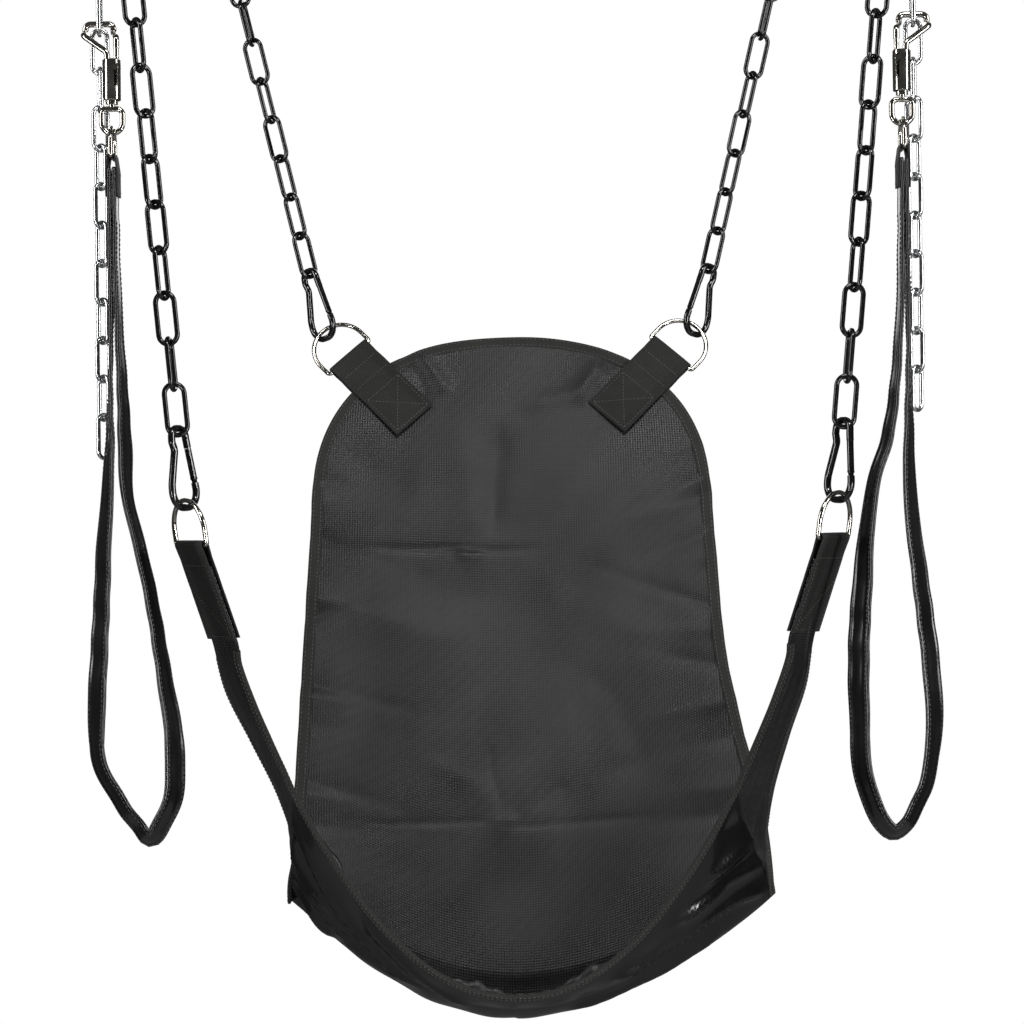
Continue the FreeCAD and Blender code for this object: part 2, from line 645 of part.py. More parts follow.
# each leg loop, from the tab down the outer leg, round the bottom and up the inner leg:
# (distance outwards from the loop's axis, distance below the tab, turn of the strap in degrees)
LOOP_STATIONS = {
    "left": [(2.3, 0, 0), (2.3, 60, 0), (3.0, 130, 4), (4.8, 200, 12), (6, 250, 24), (11.5, 324, 36),
             (14.5, 380, 40), (19, 453, 44), (20.5, 486, 40), (18.5, 511, 30), (10.5, 532, 18),
             (-2.5, 553, 8), (-16, 572, 2), (-25, 581, 0), (-35, 570, 2), (-45.5, 545, 14),
             (-48, 520, 26), (-46, 486, 30), (-38, 432, 22), (-30, 380, 18), (-19.5, 328, 16),
             (-9.5, 288, 14), (-7.8, 250, 20), (-6.5, 205, 14), (-3.5, 130, 4), (-2.3, 60, 0),
             (-2.3, 0, 0)],
    "right": [(2.3, 0, 0), (2.3, 60, 0), (3, 130, 4), (3, 200, 16), (2.5, 260, 28), (3.5, 300, 34),
              (8.5, 344, 38), (14, 390, 42), (19.5, 440, 44), (21.5, 486, 42), (18, 525, 34),
              (8, 556, 20), (-4.5, 577, 6), (-15, 584, 0), (-25.5, 573, 4), (-35.5, 552, 14),
              (-42, 520, 28), (-43.5, 475, 38), (-43, 420, 40), (-39.5, 370, 36), (-35, 322, 24),
              (-28.5, 280, 18), (-16, 240, 16), (-9, 195, 10), (-4, 130, 4), (-2.3, 60, 0),
              (-2.3, 0, 0)]}


def loop_route(name, side, top):
    """Four-cornered sections of the strap along its teardrop route."""
    stations = LOOP_STATIONS[name]
    middle = [V((LOOP_X + out) * side, LOOP_Y, top - drop) for out, drop, _ in stations]
    sections = []
    for i, (_, _, turn) in enumerate(stations):
        before = middle[max(0, i - 1)]
        after = middle[min(len(middle) - 1, i + 1)]
        along = (after - before).normalize()
        wide = V(0, 1, 0)
        rotation = FreeCAD.Rotation(along, turn * side)
        wide = rotation.multVec(wide)
        thick = along.cross(wide).normalize()
        a = wide * (STRAP_WIDTH / 2)
        b = thick * (STRAP_THICK / 2)
        centre = middle[i]
        sections.append([centre - a - b, centre + a - b, centre + a + b, centre - a + b])
    return sections


def main():
    os.makedirs("parts", exist_ok=True)
    for name, side in (("left", -1), ("right", 1)):
        front_x = (FRONT_RING_X + FRONT_LEAN) * side
        save("front_" + name + "_ceiling_hook", ceiling_hook([front_x, BRIGHT_X * side], FRONT_Y))
        rear_corner("rear_" + name, side)
        front_corner("front_" + name, side)
        bright_chain(name, side)
        snap_hook(name, side)
        leg_loop(name, side)
    sling_panel()


main()
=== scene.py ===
"""Looks of the hanging sling seat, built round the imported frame.

Lengths are in millimetres until a mesh is made; MM turns them into metres.
"""
import math

import bpy
import numpy as np
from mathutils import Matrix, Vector


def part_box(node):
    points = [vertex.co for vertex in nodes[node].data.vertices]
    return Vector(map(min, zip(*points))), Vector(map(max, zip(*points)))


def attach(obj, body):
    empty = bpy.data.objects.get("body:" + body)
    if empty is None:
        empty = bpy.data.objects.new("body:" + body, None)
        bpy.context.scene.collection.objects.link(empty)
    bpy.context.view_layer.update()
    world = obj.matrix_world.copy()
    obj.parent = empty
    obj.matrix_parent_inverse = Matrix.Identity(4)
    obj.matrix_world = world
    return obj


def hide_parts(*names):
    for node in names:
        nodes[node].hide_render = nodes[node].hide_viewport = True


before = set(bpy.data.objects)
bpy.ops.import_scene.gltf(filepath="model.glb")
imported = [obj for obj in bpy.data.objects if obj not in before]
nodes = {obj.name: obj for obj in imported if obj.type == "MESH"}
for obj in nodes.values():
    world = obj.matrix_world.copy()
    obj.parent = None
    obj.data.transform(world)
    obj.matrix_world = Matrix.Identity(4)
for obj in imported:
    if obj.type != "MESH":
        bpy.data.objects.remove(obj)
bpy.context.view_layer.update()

MM = 0.001
UP = np.array([0.0, 0.0, 1.0])
SIDES = (("left", -1), ("right", 1))

# ---- the sling's own measures, as in the CAD ------------------------------------------------
PANEL_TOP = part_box("edge_binding")[1].z / MM - 0.4
RING_LEVEL = PANEL_TOP + 10.0
SHOULDER = RING_LEVEL - 182.0
CORNER_Z = RING_LEVEL - 542.0
FOLD_Z = RING_LEVEL - 644.0
TOP_HALF = 196.0
LOW_HALF = 212.0
OUTLINE_POWER = 2.4
PANEL_LEAN = 0.39
PLANE_Y = 190.0
PLANE_Z = RING_LEVEL - 27.5
PANEL_NORMAL = np.array([0.0, -1.0, PANEL_LEAN]) / math.hypot(1.0, PANEL_LEAN)
ARM_LIFT = RING_LEVEL - 182.3
WEB_WIDTH = 48.0
PLY = 1.2
RING_RISE = 39.7
RING_WIRE_R = 2.2
TAPE_WIDTH = 12.0
HEM_WIDTH = 9.0


# ---- general helpers ------------------------------------------------------------------------
def unit(v):
    """The same direction at length one; works on a row of vectors too."""
    v = np.asarray(v, float)
    return v / np.maximum(np.linalg.norm(v, axis=-1, keepdims=True), 1e-12)


def smooth(t):
    """Eased step from 0 to 1."""
    t = np.clip(t, 0.0, 1.0)
    return t * t * (3 - 2 * t)


def arc_lengths(points):
    """Distance along a polyline at each of its points."""
    steps = np.linalg.norm(np.diff(points, axis=0), axis=1)
    return np.concatenate([[0.0], np.cumsum(steps)])


def resample(points, count):
    """The same polyline with count evenly spaced points."""
    along = arc_lengths(points)
    at = np.linspace(0, along[-1], count)
    return np.stack([np.interp(at, along, points[:, k]) for k in range(points.shape[1])], 1)


def spline(points, count):
    """Smooth curve through the points, evenly spaced."""
    p = np.array(points, float)
    p = np.vstack([2 * p[0] - p[1], p, 2 * p[-1] - p[-2]])
    t = np.linspace(0, 1, 24, endpoint=False)[:, None]
    runs = []
    for a, b, c, d in zip(p[:-3], p[1:-2], p[2:-1], p[3:]):
        runs.append(0.5 * (2 * b + (c - a) * t + (2 * a - 5 * b + 4 * c - d) * t ** 2
                           + (3 * b - a - 3 * c + d) * t ** 3))
    return resample(np.vstack(runs + [p[-2:-1]]), count)


def mesh_object(name, points, faces, material, uv=None):
    """Mesh piece from points in millimetres, smooth shaded, with a UV map in metres if given."""
    mesh = bpy.data.meshes.new(name)
    mesh.from_pydata([tuple(p) for p in np.asarray(points) * MM], [], faces)
    mesh.update()
    mesh.polygons.foreach_set("use_smooth", [True] * len(mesh.polygons))
    if uv is not None:
        layer = mesh.uv_layers.new(name="cloth")
        loops = np.zeros(len(mesh.loops), np.int32)
        mesh.loops.foreach_get("vertex_index", loops)
        layer.data.foreach_set("uv", (np.asarray(uv)[loops] * MM).astype(np.float32).ravel())
    obj = bpy.data.objects.new(name, mesh)
    obj.data.materials.append(material)
    bpy.context.scene.collection.objects.link(obj)
    return obj


def grid_faces(index, closed=False):
    """Quads of a grid of vertex numbers."""
    faces = []
    rows, columns = index.shape
    for j in range(rows - 1):
        for i in range(columns if closed else columns - 1):
            k = (i + 1) % columns
            face = [int(index[j, i]), int(index[j, k]), int(index[j + 1, k]), int(index[j + 1, i])]
            kept = [v for n, v in enumerate(face) if v != face[n - 1]]
            if len(set(kept)) >= 3:
                faces.append(kept)
    return faces


def swept(name, centres, wide, thick, section, material, widths=None):
    """Closed bar: section is a loop of (across, up) offsets carried along the centres."""
    count, sides = len(centres), len(section)
    across, up = np.array(section, float).T
    scale = np.ones(count) if widths is None else np.asarray(widths)
    points = (centres[:, None] + wide[:, None] * (across[None, :] * scale[:, None])[..., None]
              + thick[:, None] * up[None, :, None])
    index = np.arange(count * sides).reshape(count, sides)
    faces = grid_faces(index, closed=True)
    faces += [[int(v) for v in index[0][::-1]], [int(v) for v in index[-1]]]
    along = arc_lengths(centres)
    girth = np.concatenate([[0], np.cumsum(np.hypot(np.diff(across), np.diff(up)))])
    uv = np.stack([np.repeat(girth[None, :], count, 0), np.repeat(along[:, None], sides, 1)], -1)
    return mesh_object(name, points.reshape(-1, 3), faces, material, uv.reshape(-1, 2))


def rounded_band(width, thick, edge_thick=None, steps=5):
    """Section of a flat band with round edges, centred on its middle."""
    edge = (edge_thick or thick) / 2
    half = width / 2
    section = []
    for end in (1, -1):
        for a in np.linspace(-math.pi / 2, math.pi / 2, steps):
            section.append((end * (half - edge + edge * math.cos(a)), end * edge * math.sin(a)))
        for share in (0.6, 0.2, -0.2, -0.6):
            section.append((end * share * half, end * thick / 2))
    return section


def stitches(name, path, normals, material, pitch=4.2, length=2.9, radius=0.45):
    """Row of separate thread stitches lying on a path."""
    along = arc_lengths(path)
    count = max(2, int(along[-1] / pitch))
    shape = [(-0.5, 0.25), (-0.32, 1.0), (0.32, 1.0), (0.5, 0.25)]
    points, faces = [], []
    for n in range(count):
        middle = (n + 0.5) * along[-1] / count
        ends = [np.array([np.interp(middle + d, along, path[:, k]) for k in range(3)])
                for d in (-length / 2, length / 2)]
        lift = unit([np.interp(middle, along, normals[:, k]) for k in range(3)])
        run = ends[1] - ends[0]
        across = unit(np.cross(run, lift))
        first = len(points)
        for share, girth in shape:
            centre = (ends[0] + ends[1]) / 2 + run * share - lift * 0.12 * (2.2 - 2 * girth)
            for a in range(6):
                angle = math.pi * a / 3
                points.append(centre + (across * math.cos(angle) + lift * math.sin(angle))
                              * radius * girth)
        index = first + np.arange(len(shape) * 6).reshape(len(shape), 6)
        faces += grid_faces(index, closed=True)
        faces += [[int(v) for v in index[0][::-1]], [int(v) for v in index[-1]]]
    return mesh_object(name, points, faces, material)


# ---- materials ------------------------------------------------------------------------------
def new_material(name, colour, roughness, metallic=0.0, **sockets):
    """Principled material, and its node tree and shader for more nodes."""
    material = bpy.data.materials.new(name)
    material.use_nodes = True
    shader = material.node_tree.nodes["Principled BSDF"]
    shader.inputs["Base Color"].default_value = (*colour, 1)
    shader.inputs["Roughness"].default_value = roughness
    shader.inputs["Metallic"].default_value = metallic
    for socket, value in sockets.items():
        shader.inputs[socket.replace("_", " ")].default_value = value
    return material, material.node_tree, shader


def add(tree, kind, links=(), **values):
    """One node; values set its properties or input sockets, links join its inputs."""
    node = tree.nodes.new(kind)
    for key, value in values.items():
        if hasattr(node, key):
            setattr(node, key, value)
        else:
            node.inputs[key.replace("_", " ")].default_value = value
    for socket, source in links:
        tree.links.new(source, node.inputs[socket])
    return node


def mapped(tree, scale, uv=False, turn=0.0):
    """Texture coordinates, in metres, times a scale."""
    source = add(tree, "ShaderNodeTexCoord").outputs["UV" if uv else "Object"]
    mapping = add(tree, "ShaderNodeMapping", [("Vector", source)])
    mapping.inputs["Scale"].default_value = scale
    mapping.inputs["Rotation"].default_value = (0, 0, turn)
    return mapping.outputs["Vector"]


def vary(tree, shader, place, low, high, detail=4.0, scale=1.0):
    """Roughness that wanders between two values, and the noise that drives it."""
    noise = add(tree, "ShaderNodeTexNoise", [("Vector", place)], Scale=scale, Detail=detail)
    span = add(tree, "ShaderNodeMapRange", [("Value", noise.outputs["Fac"])],
               From_Min=0.3, From_Max=0.7, To_Min=low, To_Max=high)
    tree.links.new(span.outputs["Result"], shader.inputs["Roughness"])
    return noise.outputs["Fac"]


def tint(tree, shader, driver, dark, light, low=0.3, high=0.7):
    """Base colour between two shades by a driving value."""
    ramp = add(tree, "ShaderNodeValToRGB", [("Fac", driver)])
    ramp.color_ramp.elements[0].position = low
    ramp.color_ramp.elements[1].position = high
    ramp.color_ramp.elements[0].color = (*dark, 1)
    ramp.color_ramp.elements[1].color = (*light, 1)
    tree.links.new(ramp.outputs["Color"], shader.inputs["Base Color"])


def bump(tree, shader, height, distance, strength=1.0, below=None):
    """Bump from a height, on top of another bump if given."""
    links = [("Height", height)] + ([("Normal", below)] if below is not None else [])
    node = add(tree, "ShaderNodeBump", links, Strength=strength, Distance=distance)
    tree.links.new(node.outputs["Normal"], shader.inputs["Normal"])
    return node.outputs["Normal"]


def wave(tree, place, scale, direction):
    """Even sine bands."""
    node = add(tree, "ShaderNodeTexWave", [("Vector", place)], Scale=scale)
    node.wave_type = "BANDS"
    node.bands_direction = direction
    return node.outputs["Fac"]


def maths(tree, operation, a, b):
    """Sum or product of a socket with a number or another socket."""
    node = add(tree, "ShaderNodeMath", [(0, a)])
    node.operation = operation
    if isinstance(b, (int, float)):
        node.inputs[1].default_value = b
    else:
        tree.links.new(b, node.inputs[1])
    return node.outputs[0]


def metal(name, colour, low, high, metallic=1.0, grain=260.0, depth=0.00006, **sockets):
    """Plated or painted metal with small dents and an uneven shine."""
    material, tree, shader = new_material(name, colour, low, metallic, **sockets)
    place = mapped(tree, (1, 1, 1))
    noise = vary(tree, shader, place, low, high, scale=grain)
    tint(tree, shader, noise, [c * 0.8 for c in colour], [min(1, c * 1.12) for c in colour])
    bump(tree, shader, noise, depth)
    return material


def woven(name, dark, light, threads, low, high, depth, sheen=0.06):
    """Plain weave: warp and weft bands that hide each other in turn."""
    material, tree, shader = new_material(name, dark, low)
    shader.inputs["Sheen Weight"].default_value = sheen
    shader.inputs["Sheen Roughness"].default_value = 0.45
    shader.inputs["Specular IOR Level"].default_value = 0.36
    place = mapped(tree, (1, 1, 1), uv=True)
    warp = wave(tree, place, threads, "X")
    weft = wave(tree, place, threads, "Y")
    both = maths(tree, "MULTIPLY", warp, weft)
    slant = add(tree, "ShaderNodeTexWave", [("Vector", place)], Scale=threads * 0.37)
    slant.wave_type = "BANDS"
    slant.bands_direction = "DIAGONAL"
    height = maths(tree, "ADD", both, maths(tree, "MULTIPLY", slant.outputs["Fac"], 0.12))
    noise = vary(tree, shader, mapped(tree, (1, 1, 1)), low, high, scale=14.0, detail=6.0)
    # base colour: painted highlight on the raised threads and painted shade between them, plus
    # broad random blotches that are partly the cloth's own tone and partly painted sheen
    painted_thread_light_and_tone = maths(tree, "ADD", maths(tree, "MULTIPLY", height, 0.45),
                  maths(tree, "MULTIPLY", noise, 0.6))
    tint(tree, shader, painted_thread_light_and_tone, dark, light, 0.34, 0.95)
    soft = bump(tree, shader, noise, 0.0008, 0.5)
    bump(tree, shader, height, depth, 0.8, soft)
    return material


def coated(name, colour, low, high, shine):
    """Coated cloth: fine pebbled grain over a glossy skin."""
    material, tree, shader = new_material(name, colour, low)
    shader.inputs["Specular IOR Level"].default_value = shine
    place = mapped(tree, (1, 1, 1))
    noise = vary(tree, shader, place, low, high, scale=35.0)
    tint(tree, shader, noise, [c * 0.75 for c in colour], [c * 1.4 for c in colour])
    grain = add(tree, "ShaderNodeTexVoronoi", [("Vector", place)], Scale=1100.0)
    soft = bump(tree, shader, noise, 0.0012, 0.35)
    bump(tree, shader, grain.outputs["Distance"], 0.00004, 0.5, soft)
    return material


def ribbed(name, dark, light, ribs, depth, roughness=0.75):
    """Tape or webbing: ribs across it and a finer weave along it."""
    material, tree, shader = new_material(name, dark, roughness)
    shader.inputs["Sheen Weight"].default_value = 0.04
    shader.inputs["Specular IOR Level"].default_value = 0.35
    place = mapped(tree, (1, 1, 1), uv=True)
    rib = wave(tree, place, ribs, "Y")
    cross = wave(tree, place, ribs * 0.8, "X")
    height = maths(tree, "ADD", rib, maths(tree, "MULTIPLY", cross, 0.5))
    noise = vary(tree, shader, mapped(tree, (1, 1, 1)), roughness - 0.08, roughness + 0.1, scale=60)
    # base colour: painted highlight on the raised ribs and threads and painted shade between them,
    # plus random tone from the noise
    painted_thread_light_and_tone = maths(tree, "ADD", maths(tree, "MULTIPLY", height, 0.4),
                  maths(tree, "MULTIPLY", noise, 0.5))
    tint(tree, shader, painted_thread_light_and_tone, dark, light, 0.2, 0.9)
    bump(tree, shader, height, depth, 0.8)
    return material


PAINT = metal("gloss_black_paint", (0.003, 0.003, 0.0033), 0.12, 0.22, 0.0, 120.0,
              Coat_Weight=0.6, Coat_Roughness=0.04, Specular_IOR_Level=0.4)
CARABINER = metal("black_oxide_gloss", (0.004, 0.004, 0.0045), 0.12, 0.2, 0.2, 90.0,
                  Coat_Weight=0.8, Coat_Roughness=0.04)
ZINC = metal("bright_zinc", (0.68, 0.69, 0.7), 0.12, 0.3, 1.0, 150.0, 0.0001)
NICKEL = metal("nickel_plate", (0.5, 0.48, 0.44), 0.08, 0.18, 1.0, 110.0)
SPRING = metal("spring_steel", (0.5, 0.5, 0.5), 0.2, 0.35)
HOOK = metal("satin_hook_steel", (0.11, 0.11, 0.115), 0.35, 0.5, 0.9, 90.0)
# NYLON's dark and light shades are the painted shade between its threads and the painted highlight
# on them
NYLON = woven("woven_nylon", (0.003, 0.003, 0.0034), (0.036, 0.036, 0.039), 125.0, 0.34, 0.46,
              0.0003, 0.03)
LEATHER = coated("glossy_coated_cloth", (0.003, 0.003, 0.0033), 0.17, 0.25, 0.45)
LINING = coated("lining_cloth", (0.006, 0.006, 0.0064), 0.34, 0.46, 0.4)
STRAP = coated("glossy_strap_cloth", (0.004, 0.004, 0.0043), 0.15, 0.27, 0.55)
# the dark and light shades of WEBBING and TAPE are the painted shade between their ribs and the
# painted highlight on them
WEBBING = ribbed("cotton_webbing", (0.004, 0.004, 0.0036), (0.014, 0.014, 0.0128), 170.0, 0.00025)
TAPE = ribbed("binding_tape", (0.005, 0.005, 0.0045), (0.02, 0.0196, 0.018), 200.0, 0.00025)
THREAD, thread_tree, thread_shader = new_material("black_thread", (0.05, 0.05, 0.047), 0.45)
vary(thread_tree, thread_shader, mapped(thread_tree, (1, 1, 1)), 0.4, 0.6, scale=900.0)


# ---- the sling's surface --------------------------------------------------------------------
COLUMNS = 141               # across the panel
BACK_ROWS = 210             # from the top edge to the fold
LIP_ROWS = 40               # from the fold to the front edge, and across each arm
ARM_STEPS = 96              # along each arm
CAP_ROWS = 10


def half_width(z):
    """Half width of the back panel at a height."""
    straight = TOP_HALF + (LOW_HALF - TOP_HALF) * np.clip((SHOULDER - z) / 300.0, 0, 1)
    rise = np.clip((z - SHOULDER) / (PANEL_TOP - SHOULDER), 0, 1)
    return straight * (1 - rise ** OUTLINE_POWER) ** (1 / OUTLINE_POWER)


def top_z(x):
    """Height of the rounded top edge above a place across the panel."""
    share = np.clip(np.abs(x) / TOP_HALF, 0, 1)
    return SHOULDER + (PANEL_TOP - SHOULDER) * (1 - share ** OUTLINE_POWER) ** (1 / OUTLINE_POWER)


def on_panel(x, z):
    """Points of the back panel's plane."""
    x, z = np.broadcast_arrays(x, z)
    return np.stack([x, PLANE_Y - PANEL_LEAN * (PLANE_Z - z), z], -1)


RIGHT_PULL = 30.0           # the right-hand arm draws the lower corner out this far


def pulled(grid, share):
    """Grid with its lower right part drawn outwards, most at the fold and not at the front edge."""
    x, below = grid[..., 0], RING_LEVEL - grid[..., 2]
    grid = grid.copy()
    grid[..., 0] += (RIGHT_PULL * smooth((below - 290) / 250) * smooth((x - 30) / 180)
                     * (1 - share) ** 1.3)
    return grid


def ring_frame(side):
    """Front ring: bar centre, bar direction, bow direction and tab direction."""
    name = "left" if side < 0 else "right"
    low, high = [np.array(c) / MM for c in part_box("front_%s_ring" % name)]
    contact = np.array([285.0 * side, -190.0, high[2] - RING_WIRE_R * 2])
    bar = unit([-30.0 * side, -43, 0])
    sag = unit([-4.0 * side, 4, -37])
    sag = unit(sag - bar * (sag @ bar))
    centre = contact + sag * (RING_RISE - RING_WIRE_R)
    down = unit([-23.0 * side, 23, -85])
    down = unit(down - bar * (down @ bar))
    return centre, bar, sag, down


def lip_pair(share):
    """Fold point and front-edge point at a share of the panel's half width."""
    fold = on_panel(share * (LOW_HALF - 2), FOLD_Z + (CORNER_Z - FOLD_Z) * share ** 2)
    front = np.stack([198.0 * share, -105 - 15 * share ** 2,
                      ARM_LIFT - 439 + 187 * np.abs(share) ** 2.1], -1)
    return fold, front


# right-hand arm's outer and inner rail between the corner and the tab, from the lift level
ARM_RAILS = [((203, -43, -312), (208, -130, -226)), ((214, -73, -262), (218, -143, -200)),
             ((236, -103, -208), (229, -158, -170)), ((257, -125, -160), (240, -172, -135))]


def arm(side):
    """Grid of one arm, from the panel's corner up to its webbing tab."""
    centre, bar, _, down = ring_frame(side)
    pairs = [lip_pair(np.array(float(side)))]
    flip = np.array([side, 1, 1])
    for outer, inner in ARM_RAILS:
        pairs.append(tuple(np.array(p) * flip + UP * ARM_LIFT for p in (outer, inner)))
    half = WEB_WIDTH / 2 - 3
    for reach in (92.0, 56.0, 20.0):
        middle = centre + down * reach
        pairs.append((middle - bar * half, middle + bar * half))
    rails = spline([np.concatenate(p) for p in pairs], ARM_STEPS)
    share = np.linspace(0, 1, LIP_ROWS)[:, None, None]
    return pulled(rails[None, :, :3] * (1 - share) + rails[None, :, 3:] * share, share[..., 0])


def back_and_lip():
    """Grid of the back panel down to the fold, then forward to the front edge."""
    across = np.linspace(-1, 1, COLUMNS)
    cap_z = SHOULDER + (PANEL_TOP - SHOULDER) * 0.8
    cap_half = half_width(cap_z)
    rows = []
    for t in np.linspace(0, 1, CAP_ROWS, endpoint=False):
        x = across * cap_half
        rows.append(on_panel(x, top_z(x) * (1 - t) + cap_z * t))
    upper = int(BACK_ROWS * 0.2)
    for z in np.linspace(cap_z, SHOULDER, upper, endpoint=False):
        rows.append(on_panel(across * half_width(z), z))
    fold, front = lip_pair(across)
    lower = BACK_ROWS - CAP_ROWS - upper
    for t in np.linspace(0, 1, lower):
        z = SHOULDER + (fold[:, 2] - SHOULDER) * t
        edge = half_width(SHOULDER + (CORNER_Z - SHOULDER) * t) - 2 * t
        rows.append(on_panel(across * edge, z))
    for t in np.linspace(0, 1, LIP_ROWS)[1:]:
        rows.append(fold * (1 - t) + front * t)
    grid = np.array(rows)
    # the fold is a round turn, tighter towards the two corners
    reach = 34.0 * (1 - np.abs(across) ** 8) + 0.5
    up_back = unit(grid[BACK_ROWS - 8] - fold)
    up_lip = unit(front - fold)
    low = fold - unit(up_back + up_lip) * (reach * 0.66)[:, None]
    for j in range(BACK_ROWS - 60, len(rows)):
        away = np.linalg.norm(grid[j] - fold, axis=1) * (-1 if j < BACK_ROWS else 1)
        t = np.clip((away + reach) / (2 * reach), 0, 1)[:, None]
        turn = ((fold + up_back * reach[:, None]) * (1 - t) ** 2 + low * 2 * t * (1 - t)
                + (fold + up_lip * reach[:, None]) * t ** 2)
        inside = (np.abs(away) < reach)[:, None]
        grid[j] = np.where(inside, turn, grid[j])
    share = np.zeros(grid.shape[:2])
    share[BACK_ROWS - 1:] = np.linspace(0, 1, LIP_ROWS)[:, None]
    return pulled(grid, share)


def bell(distance, width):
    """Soft ridge across a distance."""
    return 1 / (1 + (distance / width) ** 2)


def to_line(px, py, line):
    """Distance of grid points from a polyline, and how far along it the nearest place is."""
    best = np.full(px.shape, 1e9)
    place = np.zeros(px.shape)
    total = len(line) - 1
    for n, ((ax, ay), (bx, by)) in enumerate(zip(line, line[1:])):
        dx, dy = bx - ax, by - ay
        t = np.clip(((px - ax) * dx + (py - ay) * dy) / (dx * dx + dy * dy), 0, 1)
        d = np.hypot(px - ax - t * dx, py - ay - t * dy)
        place = np.where(d < best, (n + t) / total, place)
        best = np.minimum(best, d)
    return best, place


# creases of the back panel: (height, width, points as (across, below ring level))
PANEL_CREASES = [
    (-0.8, 2.2, [(-166, 214), (-110, 219), (-58, 217), (-22, 221), (46, 218)]),
    (0.9, 4.0, [(-58, 222), (-40, 226), (-22, 223)]),
    (-1.3, 10.0, [(-10, 90), (-17, 160), (-19, 216)]),
    (0.8, 20.0, [(-46, 90), (-42, 165), (-34, 216)]),
    (-0.9, 26.0, [(-120, 236), (-66, 262), (-24, 268), (20, 236)]),
    (-0.6, 2.0, [(-196, 468), (-120, 476), (-30, 474), (-10, 480), (60, 476), (190, 468)]),
    (0.9, 5.0, [(-28, 470), (-12, 480), (4, 470)]),
    (-0.7, 3.0, [(-10, 470), (-22, 430), (-24, 400)]),
    (-0.6, 3.0, [(16, 468), (34, 448), (52, 440)]),
    (0.6, 9.0, [(-100, 410), (-40, 440), (-20, 462)]),
    (-0.6, 12.0, [(60, 330), (96, 360), (120, 420), (70, 438)]),
    (1.0, 10.0, [(110, 40), (60, 70), (0, 82)]),
    (1.6, 7.0, [(-96, 20), (-76, 46), (-60, 70)]),
    (-1.2, 9.0, [(-118, 12), (-92, 44), (-78, 78)]),
    (1.3, 8.0, [(96, 30), (78, 56), (66, 82)]),
    (-1.0, 9.0, [(112, 20), (90, 50), (74, 84)]),
    (0.9, 22.0, [(150, 130), (90, 190), (40, 250), (60, 330)]),
    (-0.8, 24.0, [(176, 190), (130, 240), (110, 300)]),
    (0.8, 20.0, [(-150, 270), (-90, 300), (-30, 300)]),
    (-0.9, 20.0, [(-170, 110), (-130, 150), (-90, 160)]),
]

# puckers along the side edges: (side, below ring level, reach inwards, slope, height)
PUCKERS = [
    (-1, 150, 26, 0.2, -1.4), (-1, 176, 22, -0.3, 1.0), (-1, 204, 34, 0.35, -1.8),
    (-1, 262, 40, 0.3, 1.7), (-1, 284, 36, -0.2, -2.0), (-1, 344, 44, 0.25, -2.0),
    (-1, 360, 34, 0.0, 1.6), (-1, 384, 30, 0.1, -1.4), (-1, 432, 46, 0.3, -1.9),
    (-1, 449, 30, 0.1, 1.4), (-1, 474, 52, 0.1, -1.5), (-1, 506, 30, 0.0, 1.0),
    (1, 120, 26, 0.2, 1.0), (1, 150, 34, 0.4, -2.2), (1, 170, 30, 0.3, 1.8),
    (1, 206, 34, 0.3, -1.8), (1, 232, 26, 0.0, 1.2), (1, 280, 46, -0.35, -1.6),
    (1, 300, 30, 0.0, 1.4), (1, 336, 40, -0.25, -1.3), (1, 368, 34, 0.2, 1.2),
    (1, 400, 30, 0.2, -1.2), (1, 446, 30, 0.1, 1.2), (1, 470, 44, 0.1, -1.2),
]

# tension folds of the front: (height, width, points as (place along, share from fold to edge));
# place 0 is the middle, 1 the panel's corner and 2 the webbing tab
FRONT_FOLDS = {
    1: [(4.4, 7.0, [(1.95, 0.45), (1.5, 0.3), (1.2, 0.34), (0.95, 0.58), (0.78, 0.82)]),
        (4.0, 6.5, [(1.3, 0.08), (1.08, 0.18), (0.88, 0.5), (0.66, 0.74)]),
        (3.4, 7.0, [(1.02, 0.05), (0.86, 0.28), (0.6, 0.5), (0.4, 0.66)]),
        (-3.6, 9.0, [(1.9, 0.25), (1.4, 0.16), (1.05, 0.32), (0.8, 0.62)]),
        (-3.0, 9.0, [(1.6, 0.62), (1.2, 0.56), (0.98, 0.74), (0.9, 0.9)]),
        (-2.4, 10.0, [(0.92, 0.14), (0.7, 0.36), (0.45, 0.5)]),
        (2.6, 5.0, [(1.7, 0.8), (1.3, 0.78), (1.05, 0.9)]),
        (1.8, 8.0, [(0.8, 0.1), (0.55, 0.24), (0.2, 0.4)])],
    -1: [(4.0, 6.0, [(1.95, 0.55), (1.5, 0.62), (1.15, 0.5), (0.9, 0.36), (0.62, 0.2)]),
         (-3.6, 8.0, [(1.8, 0.8), (1.3, 0.7), (1.0, 0.6), (0.76, 0.44), (0.5, 0.26)]),
         (3.4, 6.0, [(1.3, 0.86), (1.05, 0.76), (0.84, 0.62), (0.62, 0.5), (0.4, 0.4)]),
         (-2.6, 8.0, [(1.6, 0.3), (1.15, 0.28), (0.9, 0.16)]),
         (2.6, 7.0, [(1.12, 0.14), (0.94, 0.14), (0.8, 0.08)]),
         (1.8, 8.0, [(0.7, 0.86), (0.45, 0.7), (0.2, 0.5)])]}
PANEL_RELIEF = 2.1
FRONT_RELIEF = 2.1
FOLD_TIGHTNESS = 0.62
ARM_CALM = {-1: 0.8, 1: 0.6}   # share of the folding lost along each arm
ALONG_LENGTH = 215.0
ACROSS_LENGTH = 105.0


